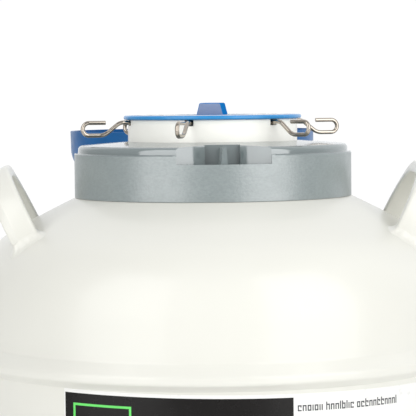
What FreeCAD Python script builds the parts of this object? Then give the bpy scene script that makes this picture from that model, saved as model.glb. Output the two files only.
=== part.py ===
"""Liquid nitrogen dewar with a hinged hood, a plugged neck and six hanging canisters.

Millimetres, +Z up. The origin is on the flask's axis, on the surface that its foot ring stands on.
-Y is the front: the collar's lock recess faces it, turned a few degrees towards +X.
"""
import math
import os

import FreeCAD
import Part
import Sketcher
from FreeCAD import Placement, Rotation, Vector

# Driving dimensions, as alias: (value, meaning). Angles are in degrees, the rest in millimetres.
DIMENSIONS = {
    # outer flask
    "flask_r": (222.6, "outer radius of the flask above the bead"),
    "drum_r": (223.0, "outer radius of the drum below the bead"),
    "shell_wall": (2.2, "aluminium of both outer shells"),
    "shell_slope_wall": (2.5, "upright thickness of the sloped shoulder"),
    "shoulder_top_r": (70.0, "hole in the shoulder for the neck flange"),
    "shoulder_top_z": (632.7, "shoulder height at that hole"),
    "shoulder_mid_r": (155.0, "where the shoulder steepens a little"),
    "shoulder_mid_z": (590.5, "shoulder height there"),
    "knuckle_z": (554.0, "where shoulder slope and flask wall would meet"),
    "knuckle_bend": (75.0, "outer radius of that bend"),
    "bead_top_z": (478.0, "start of the rolled bead"),
    "bead_low_z": (455.0, "lip of the bead on the drum"),
    "bead_r": (230.3, "largest radius of the bead"),
    "drum_top_z": (470.0, "drum edge inside the bead"),
    "drum_low_z": (10.0, "underside of the drum's bottom"),
    "drum_bend": (20.0, "bend between drum wall and bottom"),
    "foot_in_r": (176.0, "inside of the foot ring"),
    "foot_out_r": (200.0, "outside of the foot ring"),
    # inner flask, neck and vacuum space
    "bore_r": (62.5, "clear radius of the neck"),
    "neck_wall": (2.5, "glass fibre neck tube"),
    "neck_top_z": (652.0, "top of the neck tube"),
    "neck_low_z": (500.0, "bottom of the neck tube"),
    "vessel_r": (176.0, "outer radius of the inner vessel"),
    "vessel_wall": (1.8, "aluminium of the inner vessel"),
    "vessel_low_z": (80.0, "underside of the inner vessel"),
    "vessel_top_z": (504.0, "inner vessel height beside the neck"),
    "vessel_edge_z": (484.0, "inner vessel height at its edge"),
    "flange_r": (92.0, "outer radius of the neck flange"),
    "flange_top_z": (649.0, "top of the neck flange"),
    "wrap_r": (216.0, "outer radius of the insulation"),
    "wrap_in_r": (178.5, "inner radius of the insulation"),
    "wrap_low_z": (16.0, "underside of the insulation"),
    "tray_r": (60.0, "radius of the adsorbent tray"),
    "tray_low_z": (66.0, "underside of the adsorbent tray"),
    "port_r": (10.0, "outer radius of the evacuation tube"),
    # neck ring
    "ring_r": (77.7, "outer radius of the notched neck ring"),
    "ring_top_z": (675.3, "top of the neck ring"),
    "notch_width": (8.0, "notch that holds a canister's wire"),
    "notch_floor_z": (669.8, "floor of the notches"),
    "spigot_r": (73.7, "part of the neck ring that stands inside the collar's lip"),
    "screw_circle_r": (70.0, "circle of the neck ring's screws"),
    "screw_r": (2.0, "shank of the small screws"),
    "screw_head_r": (3.6, "head of the small screws"),
    # collar
    "collar_turn": (4.7, "turn of collar and hood about the flask's axis"),
    "collar_wall": (3.0, "moulded wall of the collar"),
    "collar_crown_z": (655.3, "collar top beside the neck ring"),
    "step_r": (123.6, "radius of the collar's upper step"),
    "step_top_z": (651.9, "height of the upper step's edge"),
    "step_bend": (4.0, "rounding of that edge"),
    "skirt_r": (127.1, "radius of the collar's skirt"),
    "ledge_z": (645.2, "ledge that the closed hood stands over"),
    "skirt_low_z": (604.5, "lower edge of the skirt"),
    "recess_half": (41.3, "half width of the lock recess at the front"),
    "recess_mouth": (116.0, "distance from the axis to the recess's slanted cheeks, in front"),
    "recess_inner_half": (15.5, "half width between the cheeks' inner ends"),
    "recess_cheek": (103.0, "distance from the axis to those inner ends"),
    "recess_back": (98.0, "distance from the axis to the recess's back wall"),
    "recess_floor_z": (637.3, "floor of the lock recess"),
    "lock_rib_width": (5.8, "lock plate that stands in the recess, at its foot"),
    "lock_rib_top_width": (3.6, "lock plate at its top"),
    "lock_rib_front": (123.0, "distance from the axis to its front edge"),
    "lock_rib_top_z": (651.8, "top of the lock plate"),
    "lock_hole_r": (3.2, "hole for a padlock's shackle"),
    # hinge and hood
    "hinge_y": (131.6, "distance from the axis to the hinge pin"),
    "hinge_z": (653.4, "height of the hinge pin"),
    "pin_r": (2.0, "hinge pin"),
    "pin_slack": (0.08, "radial clearance of the hood on its pin"),
    "barrel_r": (4.1, "outside of the hinge eyes"),
    "lug_inner": (13.6, "half gap between the collar's hinge lugs"),
    "lug_outer": (24.0, "half width over the collar's hinge lugs"),
    "tongue_half": (13.0, "half width of the hood's hinge tongue"),
    "hinge_flat_y": (118.0, "flat on the collar's step that lets the hood swing"),
    "hood_r": (127.4, "outer radius of the hood's rim"),
    "hood_top_r": (126.4, "outer radius where the hood's top begins"),
    "hood_wall": (2.0, "moulded wall of the hood"),
    "hood_rim_z": (645.6, "rim of the closed hood"),
    "hood_edge_z": (691.0, "top of the closed hood at its edge"),
    "hood_crown_z": (695.0, "top of the closed hood on the axis"),
    "hood_bend": (28.0, "bend between hood wall and top"),
    "tab_low_z": (638.3, "lower edge of the closed hood's front tab"),
    "tab_angle": (36.0, "angle that the front tab spans"),
    # lid
    "lid_r": (81.5, "radius of the lid"),
    "lid_low_z": (675.4, "underside of the lid"),
    "lid_top_z": (679.0, "top of the lid"),
    "plug_top_r": (54.5, "foam plug below the lid"),
    "plug_low_r": (50.0, "foam plug at its lower end"),
    "plug_low_z": (552.0, "lower end of the foam plug"),
    "grip_top_z": (690.0, "top of the grip, the highest point of the open dewar"),
    "grip_half": (12.2, "half width of the grip on the lid"),
    "grip_top_half": (9.4, "half width of the grip at its top"),
    "grip_length": (64.0, "length of the grip"),
    "grip_turn": (-4.0, "turn of the lid and its grip about the flask's axis"),
    "grip_screw_y": (20.0, "distance of the grip's screws from the axis"),
    "badge_in_r": (36.0, "inside of the ring-shaped lid label"),
    "badge_out_r": (70.0, "outside of the ring-shaped lid label"),
    "badge_sheet": (0.25, "thickness of the labels"),
    # canisters
    "canister_r": (35.0, "outer radius of a canister"),
    "canister_wall": (1.0, "sheet of the canisters"),
    "canister_low_z": (112.0, "underside of a hanging canister"),
    "canister_top_z": (232.0, "rim of a hanging canister"),
    "canister_place_r": (95.0, "distance of a canister's axis from the flask's axis"),
    "drain_hole_r": (3.0, "drain holes of a canister"),
    "drain_circle_r": (20.0, "circle of the bottom drain holes"),
    "wire_r": (2.0, "stainless wire of the canister handles"),
    "wire_in_r": (58.0, "upright wire inside the neck"),
    "wire_low_z": (124.0, "lower end of the upright wire"),
    "wire_notch_z": (672.4, "wire in the neck ring's notch"),
    "wire_crest_r": (86.0, "where the wire turns down outside the ring"),
    "wire_crest_z": (673.6, "height of that turn"),
    "wire_foot_r": (101.0, "where the wire levels out again"),
    "wire_foot_z": (661.5, "lowest run of the hook"),
    "wire_end_r": (121.0, "outermost reach of the hook's centreline"),
    "wire_return_z": (673.0, "upper run of the hook"),
    "wire_tip_r": (100.0, "cut end of the hook"),
    "wire_neck_bend": (5.0, "bend over the neck's edge"),
    "wire_bend": (13.0, "bend at the hook's foot"),
    "wire_hook_bend": (5.8, "the two bends that turn the hook back"),
    "spacer_r": (124.0, "radius of the canister spacer"),
    "spacer_low_z": (81.8, "underside of the canister spacer"),
    # carrying handles
    "handle_place_r": (173.2, "distance of the handles from the axis, where they stand"),
    "handle_place_z": (578.6, "height of the shoulder there"),
    "handle_lean": (26.0, "lean of the handles away from the axis"),
    "handle_half": (81.0, "half distance between a handle's legs"),
    "handle_rise": (51.5, "height of a handle's centreline along its lean"),
    "handle_bend": (58.0, "bends of a handle"),
    "handle_width": (25.0, "width of the handle bar"),
    "handle_depth": (12.0, "thickness of the handle bar"),
    "handle_turn": (1.9, "turn of both handles about the flask's axis"),
    "handle_forward": (12.8, "how far both handles stand in front of the axis"),
    "handle_toe": (1.9, "turn of each handle about its own upright, front leg drawn in"),
    # drum label
    "label_low_z": (296.0, "lower edge of the drum label"),
    "label_top_z": (453.4, "upper edge of the drum label"),
    "label_angle": (86.0, "angle that the drum label spans"),
    "label_turn": (9.0, "turn of the label's middle from the front"),
}

# The neck ring has six notches, 60 degrees apart. Each canister's wire lies a little to one side
# in its own notch, at an angle counted from the front towards +X.
NOTCHES = 6
CANISTER_ANGLES = (-76.0, -14.6, 44.2, 105.8, 164.4, 224.2)
RING_SCREWS = 6
BOTTOM_DRAINS = 6
RING_TURN = -75.4 - 90
SCREW_HEAD = 4.4  # depth of the neck ring's screw sinks


class Size:
    """A number together with the sheet formula that it comes from."""

    def __init__(self, value, formula):
        self.value = value
        self.formula = formula

    def joined(self, sign, other, value):
        return Size(value, f"({self.formula} {sign} {as_size(other).formula})")

    def __add__(self, other):
        return self.joined("+", other, self.value + as_size(other).value)

    def __sub__(self, other):
        return self.joined("-", other, self.value - as_size(other).value)

    def __mul__(self, other):
        return self.joined("*", other, self.value * as_size(other).value)

    def __neg__(self):
        return Size(-self.value, f"(-{self.formula})")


def as_size(number):
    return number if isinstance(number, Size) else Size(float(number), f"{float(number)}")


class Sizes:
    """Attribute access to the sheet: sizes.bore_r is the Size of that cell."""

    def __init__(self, sheet):
        self.sheet = sheet

    def __getattr__(self, alias):
        return Size(float(self.sheet.get(alias)), f"Sizes.{alias}")


def write_sheet():
    sheet = doc.addObject("Spreadsheet::Sheet", "Sizes")
    for row, (alias, (value, meaning)) in enumerate(DIMENSIONS.items(), start=1):
        sheet.set(f"A{row}", alias)
        sheet.set(f"B{row}", str(value))
        sheet.set(f"C{row}", meaning)
        sheet.setAlias(f"B{row}", alias)
    doc.recompute()
    return sheet


doc = FreeCAD.newDocument("liquid_nitrogen_dewar")
sizes = Sizes(write_sheet())
nodes = []


# ---- helpers -------------------------------------------------------------------------------


def bind(item, name, size):
    """Set a property from a Size, so that it follows the sheet."""
    item.setExpression(name, as_size(size).formula)


def keep(item):
    """Make a finished object one of the dewar's sub-parts."""
    nodes.append(item)
    return item


def new_body(label):
    body = doc.addObject("PartDesign::Body", label)
    body.Label = label
    return body


def new_sketch(body, name, plane="XZ_Plane", lift=None):
    """An empty sketch on one of the body's origin planes, lifted along its normal if asked."""
    sketch = body.newObject("Sketcher::SketchObject", name)
    sketch.AttachmentSupport = [(f, "") for f in body.Origin.OriginFeatures if f.Role == plane]
    sketch.MapMode = "FlatFace"
    if lift is not None:
        bind(sketch, "AttachmentOffset.Base.z", lift)
    return sketch


def fix_point(sketch, geometry, end, across, up):
    """Tie a point's two coordinates to Sizes or numbers. A 0 puts it on the sketch's axis."""
    for kind, place, axis in (("DistanceX", across, -2), ("DistanceY", up, -1)):
        size = as_size(place)
        if size.value == 0:
            sketch.addConstraint(Sketcher.Constraint("PointOnObject", geometry, end, axis))
        else:
            number = sketch.addConstraint(Sketcher.Constraint(kind, geometry, end, size.value))
            sketch.setExpression(f"Constraints[{number}]", size.formula)


def bend_between(before, corner, after, radius):
    """Centre and tangent points of an arc that rounds a corner, and whether it turns left."""
    arrive = (corner - before).normalize()
    leave = (after - corner).normalize()
    left = arrive.cross(leave).z > 0
    turn = arrive.getAngle(leave)
    reach = radius * math.tan(turn / 2)
    entry = corner - arrive * reach
    way_out = corner + leave * reach
    inward = Vector(-arrive.y, arrive.x, 0) * (1 if left else -1)
    return entry + inward * radius, entry, way_out, left


def draw(sketch, corners, closed=True):
    """Straight runs through corners given as (across, up) or (across, up, bend radius)."""
    count = len(corners)
    spots = [Vector(as_size(c[0]).value, as_size(c[1]).value, 0) for c in corners]
    bends = {}
    for i, corner in enumerate(corners):
        if len(corner) == 3:
            before, after = spots[i - 1], spots[(i + 1) % count]
            bends[i] = bend_between(before, spots[i], after, as_size(corner[2]).value)
    runs = []
    for i in range(count if closed else count - 1):
        j = (i + 1) % count
        start = bends[i][2] if i in bends else spots[i]
        end = bends[j][1] if j in bends else spots[j]
        runs.append(sketch.addGeometry(Part.LineSegment(start, end)))
    for i, corner in enumerate(corners):
        before = runs[i - 1]
        after = runs[i] if closed or i < count - 1 else None
        if i in bends:
            round_corner(sketch, corner, spots[i], bends[i], before, after)
        elif closed or i > 0:
            if after is not None:
                sketch.addConstraint(Sketcher.Constraint("Coincident", before, 2, after, 1))
            fix_point(sketch, before, 2, corner[0], corner[1])
        else:
            fix_point(sketch, after, 1, corner[0], corner[1])


def round_corner(sketch, corner, spot, bend, before, after):
    """A tangent arc between two runs that still point at their shared corner."""
    centre, entry, way_out, left = bend
    radius = (entry - centre).Length
    first, last = (entry, way_out) if left else (way_out, entry)
    low = math.atan2(first.y - centre.y, first.x - centre.x)
    high = math.atan2(last.y - centre.y, last.x - centre.x)
    if high < low:
        high += 2 * math.pi
    circle = Part.Circle(centre, Vector(0, 0, 1), radius)
    arc = sketch.addGeometry(Part.ArcOfCircle(circle, low, high))
    tip = sketch.addGeometry(Part.Point(spot), True)
    entry_end, exit_end = (1, 2) if left else (2, 1)
    sketch.addConstraint(Sketcher.Constraint("Tangent", before, 2, arc, entry_end))
    sketch.addConstraint(Sketcher.Constraint("Tangent", arc, exit_end, after, 1))
    number = sketch.addConstraint(Sketcher.Constraint("Radius", arc, radius))
    sketch.setExpression(f"Constraints[{number}]", as_size(corner[2]).formula)
    fix_point(sketch, tip, 1, corner[0], corner[1])
    sketch.addConstraint(Sketcher.Constraint("PointOnObject", tip, 1, before))
    sketch.addConstraint(Sketcher.Constraint("PointOnObject", tip, 1, after))


def draw_circle(sketch, across, up, radius):
    centre = Vector(as_size(across).value, as_size(up).value, 0)
    circle = sketch.addGeometry(Part.Circle(centre, Vector(0, 0, 1), radius.value))
    number = sketch.addConstraint(Sketcher.Constraint("Radius", circle, radius.value))
    sketch.setExpression(f"Constraints[{number}]", radius.formula)
    fix_point(sketch, circle, 3, across, up)


def revolve(body, name, corners, kind="Revolution", plane="XZ_Plane", angle=None):
    """Turn a section about the Z axis: all the way round, or evenly about its plane."""
    sketch = new_sketch(body, name + "_section", plane)
    draw(sketch, corners)
    turned = body.newObject(f"PartDesign::{kind}", name)
    turned.Profile = sketch
    turned.ReferenceAxis = (sketch, ["V_Axis"])
    turned.Angle = 360
    if angle is not None:
        turned.Midplane = True
        bind(turned, "Angle", angle)
    return turned


def extrude(body, name, shape, length, kind="Pad", plane="XY_Plane", lift=None, way="up"):
    """Pad or pocket a sketch. shape draws it; way is up, down or both, along its normal."""
    sketch = new_sketch(body, name + "_outline", plane, lift)
    shape(sketch)
    feature = body.newObject(f"PartDesign::{kind}", name)
    feature.Profile = sketch
    bind(feature, "Length", length)
    if way == "both":
        feature.SideType = "Symmetric"
    elif kind == "Pocket":
        feature.Reversed = way == "up"
    else:
        feature.Reversed = way == "down"
    return feature


def polygon(*corners):
    return lambda sketch: draw(sketch, corners)


def rectangle(left, low, right, high):
    return polygon((left, low), (right, low), (right, high), (left, high))


def round_hole(across, up, radius):
    return lambda sketch: draw_circle(sketch, across, up, radius)


def around(body, feature, count):
    """Repeat a feature evenly about the Z axis."""
    pattern = body.newObject("PartDesign::PolarPattern", feature.Name + "_ring")
    pattern.Originals = [feature]
    pattern.Axis = ([f for f in body.Origin.OriginFeatures if f.Role == "Z_Axis"][0], [""])
    pattern.Angle = 360
    pattern.Occurrences = count
    body.Tip = pattern
    return pattern


def turned_body(label, corners):
    body = new_body(label)
    revolve(body, label + "_turn", corners)
    return keep(body)


def turn_about_axis(item, degrees):
    """Place an object by turning it about the flask's axis."""
    item.Placement = Placement(Vector(), Rotation(Vector(0, 0, 1), degrees))


def cylinder(label, radius, low, high, x=0.0, y=0.0):
    """A Part primitive between two heights."""
    item = doc.addObject("Part::Cylinder", label)
    item.Label = label
    bind(item, "Radius", radius)
    bind(item, "Height", high - low)
    bind(item, "Placement.Base.x", x)
    bind(item, "Placement.Base.y", y)
    bind(item, "Placement.Base.z", low)
    return item


# ---- outer flask ----------------------------------------------------------------------------


def shoulder_line():
    """The shoulder's outer surface, from the neck to the flask wall."""
    s = sizes
    return [
        (s.shoulder_top_r, s.shoulder_top_z),
        (s.shoulder_mid_r, s.shoulder_mid_z, 250),
        (s.flask_r, s.knuckle_z, s.knuckle_bend),
    ]


def make_outer_shell_upper():
    """Spun shoulder and wall, with a rolled bead whose lip turns in on the drum."""
    s = sizes
    inner_r = s.flask_r - s.shell_wall
    bead_in_r = s.bead_r - s.shell_wall
    outside = shoulder_line() + [
        (s.flask_r, s.bead_top_z, 4),
        (s.bead_r, s.bead_top_z - 10.6, 5),
        (s.bead_r, s.bead_low_z + 6.4, 4),
        (s.drum_r, s.bead_low_z),
    ]
    inside = [
        (s.drum_r, s.bead_low_z + 2.8),
        (bead_in_r, s.bead_low_z + 8, 2),
        (bead_in_r, s.bead_top_z - 11.4, 3),
        (inner_r, s.bead_top_z - 1.2, 6),
        (inner_r, s.knuckle_z - 1.3, s.knuckle_bend - s.shell_wall),
        (s.shoulder_mid_r - 1, s.shoulder_mid_z - s.shell_slope_wall + 0.5, 248),
        (s.shoulder_top_r, s.shoulder_top_z - s.shell_slope_wall),
    ]
    turned_body("outer_shell_upper", outside + inside)


def make_outer_shell_lower():
    """Drum with a dished bottom edge and a hole for the evacuation tube."""
    s = sizes
    turned_body(
        "outer_shell_lower",
        [
            (s.port_r, s.drum_low_z),
            (s.drum_r, s.drum_low_z, s.drum_bend),
            (s.drum_r, s.drum_top_z),
            (s.drum_r - s.shell_wall, s.drum_top_z),
            (s.drum_r - s.shell_wall, s.drum_low_z + s.shell_wall, s.drum_bend - s.shell_wall),
            (s.port_r, s.drum_low_z + s.shell_wall),
        ],
    )


def make_foot_ring():
    s = sizes
    turned_body(
        "foot_ring",
        [
            (s.foot_in_r, 0, 3),
            (s.foot_out_r, 0, 3),
            (s.foot_out_r, s.drum_low_z),
            (s.foot_in_r, s.drum_low_z),
        ],
    )


# ---- vacuum space and inner flask -----------------------------------------------------------


def make_inner_vessel():
    """Closed vessel whose short spun neck holds the neck tube."""
    s = sizes
    neck_r = s.bore_r + s.neck_wall
    lip_r = neck_r + 2.2
    inner_r = s.vessel_r - s.vessel_wall
    turned_body(
        "inner_vessel",
        [
            (0, s.vessel_low_z),
            (s.vessel_r, s.vessel_low_z, 48),
            (s.vessel_r, s.vessel_edge_z, 60),
            (lip_r, s.vessel_top_z, 4),
            (lip_r, s.vessel_top_z + 18),
            (neck_r, s.vessel_top_z + 18),
            (neck_r, s.vessel_top_z - s.vessel_wall),
            (inner_r, s.vessel_edge_z - s.vessel_wall, 58),
            (inner_r, s.vessel_low_z + s.vessel_wall, 46),
            (0, s.vessel_low_z + s.vessel_wall),
        ],
    )


def make_neck_tube():
    s = sizes
    turned_body(
        "neck_tube",
        [
            (s.bore_r, s.neck_low_z),
            (s.bore_r + s.neck_wall, s.neck_low_z),
            (s.bore_r + s.neck_wall, s.neck_top_z),
            (s.bore_r, s.neck_top_z),
        ],
    )


def ring_screw_spot():
    """A screw of the neck ring, halfway between two notches, before the ring is turned."""
    angle = math.radians(180 / RING_SCREWS)
    return sizes.screw_circle_r * math.cos(angle), sizes.screw_circle_r * math.sin(angle)


def make_neck_flange():
    """Turned ring that joins the neck tube to the shoulder and carries the collar."""
    s = sizes
    neck_r = s.bore_r + s.neck_wall
    body = turned_body(
        "neck_flange",
        [
            (neck_r, s.shoulder_top_z - 11),
            (s.shoulder_top_r, s.shoulder_top_z - 11),
            (s.shoulder_top_r, s.flange_top_z - 8),
            (s.flange_r, s.flange_top_z - 8),
            (s.flange_r, s.flange_top_z),
            (neck_r, s.flange_top_z),
        ],
    )
    hole = round_hole(*ring_screw_spot(), s.screw_r)
    tapped = extrude(body, "flange_hole", hole, 6, "Pocket", lift=s.flange_top_z, way="down")
    around(body, tapped, RING_SCREWS)
    turn_about_axis(body, RING_TURN)


def make_insulation():
    """Wrapped blanket that fills the vacuum space, clear of both walls."""
    s = sizes
    neck_gap_r = s.bore_r + s.neck_wall + 4
    port_gap_r = s.port_r + 2
    turned_body(
        "insulation_blanket",
        [
            (port_gap_r, s.wrap_low_z),
            (s.wrap_r, s.wrap_low_z, s.drum_bend),
            (s.wrap_r, s.knuckle_z - 7, s.knuckle_bend),
            (s.shoulder_mid_r - 4, s.shoulder_mid_z - 8),
            (s.shoulder_top_r + 6, s.shoulder_top_z - 16),
            (neck_gap_r, s.shoulder_top_z - 16),
            (neck_gap_r, s.vessel_top_z + 4),
            (s.wrap_in_r, s.vessel_edge_z + 4, 62),
            (s.wrap_in_r, s.vessel_low_z - 4, 52),
            (s.tray_r + 4, s.vessel_low_z - 4),
            (s.tray_r + 4, s.tray_low_z - 4),
            (port_gap_r, s.tray_low_z - 4),
        ],
    )


def make_adsorbent_tray():
    s = sizes
    turned_body(
        "adsorbent_tray",
        [
            (0, s.tray_low_z),
            (s.tray_r, s.tray_low_z, 4),
            (s.tray_r, s.vessel_low_z),
            (0, s.vessel_low_z),
        ],
    )


def make_evacuation_port():
    """Tube through the bottom, closed by a cap that stays above the floor."""
    s = sizes
    tube_in_r = s.port_r - 3
    cap_r = s.port_r - 3.1
    turned_body(
        "evacuation_tube",
        [
            (tube_in_r, s.drum_low_z - 4),
            (s.port_r, s.drum_low_z - 4),
            (s.port_r, s.drum_low_z + 24),
            (tube_in_r, s.drum_low_z + 24),
        ],
    )
    turned_body(
        "evacuation_cap",
        [
            (0, s.drum_low_z - 8),
            (s.port_r, s.drum_low_z - 8, 1),
            (s.port_r, s.drum_low_z - 4),
            (cap_r, s.drum_low_z - 4),
            (cap_r, s.drum_low_z + 6),
            (0, s.drum_low_z + 6),
        ],
    )


# ---- neck ring ------------------------------------------------------------------------------


def make_neck_ring():
    """Moulded ring with six notches for the canister wires and six screw holes between."""
    s = sizes
    neck_r = s.bore_r + s.neck_wall
    body = turned_body(
        "neck_ring",
        [
            (s.bore_r, s.neck_top_z),
            (neck_r, s.neck_top_z),
            (neck_r, s.flange_top_z),
            (s.spigot_r, s.flange_top_z),
            (s.spigot_r, s.neck_top_z),
            (s.ring_r, s.neck_top_z),
            (s.ring_r, s.ring_top_z, 0.8),
            (s.bore_r, s.ring_top_z, 0.8),
        ],
    )
    half = s.notch_width * 0.5
    slot = rectangle(s.bore_r - 4, -half, s.ring_r + 4, half)
    depth = s.ring_top_z - s.notch_floor_z
    notch = extrude(body, "wire_notch", slot, depth, "Pocket", lift=s.ring_top_z, way="down")
    around(body, notch, NOTCHES)
    through = round_hole(*ring_screw_spot(), s.screw_r + 0.1)
    height = s.ring_top_z - s.flange_top_z
    hole = extrude(body, "ring_hole", through, height, "Pocket", lift=s.ring_top_z, way="down")
    around(body, hole, RING_SCREWS)
    sunk = round_hole(*ring_screw_spot(), s.screw_head_r + 0.2)
    head = extrude(body, "ring_head", sunk, SCREW_HEAD, "Pocket", lift=s.ring_top_z, way="down")
    around(body, head, RING_SCREWS)
    turn_about_axis(body, RING_TURN)


def make_neck_ring_screws():
    """Six screws as one group: through the neck ring and the collar into the flange."""
    s = sizes
    screws = []
    for number in range(RING_SCREWS):
        angle = math.radians(RING_TURN + (number + 0.5) * 360 / RING_SCREWS)
        x = s.screw_circle_r * math.cos(angle)
        y = s.screw_circle_r * math.sin(angle)
        head_low = s.ring_top_z - SCREW_HEAD
        shank = cylinder(f"ring_shank_{number + 1}", s.screw_r, s.flange_top_z - 5, head_low, x, y)
        head = cylinder(f"ring_screw_head_{number + 1}", s.screw_head_r, head_low,
                        s.ring_top_z - 1.2, x, y)
        screw = doc.addObject("Part::Fuse", f"ring_screw_{number + 1}")
        screw.Base, screw.Tool = shank, head
        screws.append(screw)
    group = doc.addObject("Part::Compound", "neck_ring_screws")
    group.Label = "neck_ring_screws"
    group.Links = screws
    keep(group)


# ---- collar and hinge -----------------------------------------------------------------------


def make_collar():
    """Moulded skirt with an upper step, a lock recess at the front and hinge lugs behind."""
    s = sizes
    body = new_body("collar")
    lip_r = s.spigot_r + 0.3
    seat_r = s.ring_r + 0.3
    step_in_r = s.step_r - s.collar_wall
    skirt_in_r = s.skirt_r - s.collar_wall
    outside = [
        (seat_r, s.collar_crown_z),
        (s.step_r, s.step_top_z, s.step_bend),
        (s.step_r, s.ledge_z, 0.6),
        (s.skirt_r, s.ledge_z, 1.2),
        (s.skirt_r, s.skirt_low_z),
    ]
    inside = [
        (skirt_in_r, s.skirt_low_z + s.collar_wall * 0.52),
        (skirt_in_r, s.ledge_z - s.collar_wall),
        (step_in_r, s.ledge_z - s.collar_wall),
        (step_in_r, s.step_top_z - s.collar_wall),
        (s.flange_r + 1, s.collar_crown_z - 1.1 - s.collar_wall),
        (s.flange_r + 1, s.flange_top_z),
        (lip_r, s.flange_top_z),
        (lip_r, s.neck_top_z),
        (seat_r, s.neck_top_z),
    ]
    revolve(body, "collar_turn", outside + inside)
    add_lock_recess(body)
    add_hinge_lugs(body)
    turn_about_axis(body, sizes.collar_turn.value)
    return keep(body)


def recess_outline(grow):
    """The recess in plan, seen from above with the front down: two slanted cheeks, a back wall."""
    s = sizes
    grow = as_size(grow)
    front = -(s.skirt_r + 6)
    return polygon(
        (-s.recess_half - grow, front),
        (s.recess_half + grow, front),
        (s.recess_half + grow, -s.recess_mouth),
        (s.recess_inner_half + grow, grow - s.recess_cheek),
        (s.recess_inner_half + grow, grow - s.recess_back),
        (-s.recess_inner_half - grow, grow - s.recess_back),
        (-s.recess_inner_half - grow, grow - s.recess_cheek),
        (-s.recess_half - grow, -s.recess_mouth),
    )


def add_lock_recess(body):
    """A boxed pocket in the collar's front, with an upright lock plate in its middle."""
    s = sizes
    floor_z = s.recess_floor_z
    box_low_z = floor_z - s.collar_wall
    box_height = s.step_top_z - box_low_z - 1.5
    extrude(body, "recess_box", recess_outline(s.collar_wall), box_height, lift=box_low_z)
    # trim the box back to the collar's own outside
    far_r = s.skirt_r + 14
    trim = [
        (s.skirt_r, box_low_z - 2),
        (s.skirt_r, s.ledge_z, 1.2),
        (s.step_r, s.ledge_z, 0.6),
        (s.step_r, s.step_top_z, s.step_bend),
        (s.ring_r + 4, s.collar_crown_z - 0.25),
        (s.ring_r + 4, s.collar_crown_z + 8),
        (far_r, s.collar_crown_z + 8),
        (far_r, box_low_z - 2),
    ]
    revolve(body, "recess_trim", trim, "Groove")
    extrude(body, "lock_recess", recess_outline(0), 30, "Pocket", lift=floor_z)
    half, top_half = s.lock_rib_width * 0.5, s.lock_rib_top_width * 0.5
    rib = polygon(
        (-half, floor_z - 0.5),
        (half, floor_z - 0.5),
        (top_half, s.lock_rib_top_z),
        (-top_half, s.lock_rib_top_z),
    )
    depth = s.lock_rib_front - s.recess_back + 1
    extrude(body, "lock_plate", rib, depth, plane="XZ_Plane", lift=s.recess_back - 1)
    hole_z = floor_z + (s.lock_rib_top_z - floor_z) * 0.5
    hole = round_hole(s.lock_hole_r * 2 - s.lock_rib_front, hole_z, s.lock_hole_r)
    extrude(body, "lock_hole", hole, s.lock_rib_width + 2, "Pocket", "YZ_Plane", way="both")


def add_hinge_lugs(body):
    """Two lugs with eyes for the pin, and a flat that the hood's rim swings past."""
    s = sizes
    flat = rectangle(-50, s.hinge_flat_y, 50, s.skirt_r + 4)
    extrude(body, "hinge_flat", flat, 12, "Pocket", lift=s.ledge_z + 1.2)
    # each lug's inner edge lies within the skirt's wall over the lug's whole width
    wall_y = s.skirt_r - 2.9
    lug = polygon(
        (wall_y, s.ledge_z - 26),
        (s.skirt_r - 1, s.ledge_z - 26),
        (s.hinge_y + s.barrel_r, s.ledge_z - 12),
        (s.hinge_y + s.barrel_r, s.hinge_z + s.barrel_r, s.barrel_r - 0.5),
        (s.hinge_y - s.barrel_r, s.hinge_z + s.barrel_r, s.barrel_r - 0.5),
        (s.hinge_y - s.barrel_r + 0.4, s.ledge_z - 1.5),
        (wall_y, s.ledge_z - 1.5),
    )
    width = s.lug_outer - s.lug_inner
    for side, start in (("left", -s.lug_outer), ("right", s.lug_inner)):
        extrude(body, f"hinge_lug_{side}", lug, width, plane="YZ_Plane", lift=start)
    eye = round_hole(s.hinge_y, s.hinge_z, s.pin_r)
    extrude(body, "lug_eyes", eye, s.lug_outer * 2 + 2, "Pocket", "YZ_Plane", way="both")


def make_hinge_pin():
    """A steel pin across both lugs and the hood's tongue."""
    s = sizes
    pin = doc.addObject("Part::Cylinder", "hinge_pin")
    pin.Label = "hinge_pin"
    bind(pin, "Radius", s.pin_r)
    bind(pin, "Height", s.lug_outer * 2 + 1)
    turn = Rotation(Vector(0, 0, 1), s.collar_turn.value)
    start = Vector(-s.lug_outer.value - 0.5, s.hinge_y.value, s.hinge_z.value)
    pin.Placement = Placement(turn.multVec(start), turn * Rotation(Vector(0, 1, 0), 90))
    return keep(pin)


# ---- hood -----------------------------------------------------------------------------------


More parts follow.
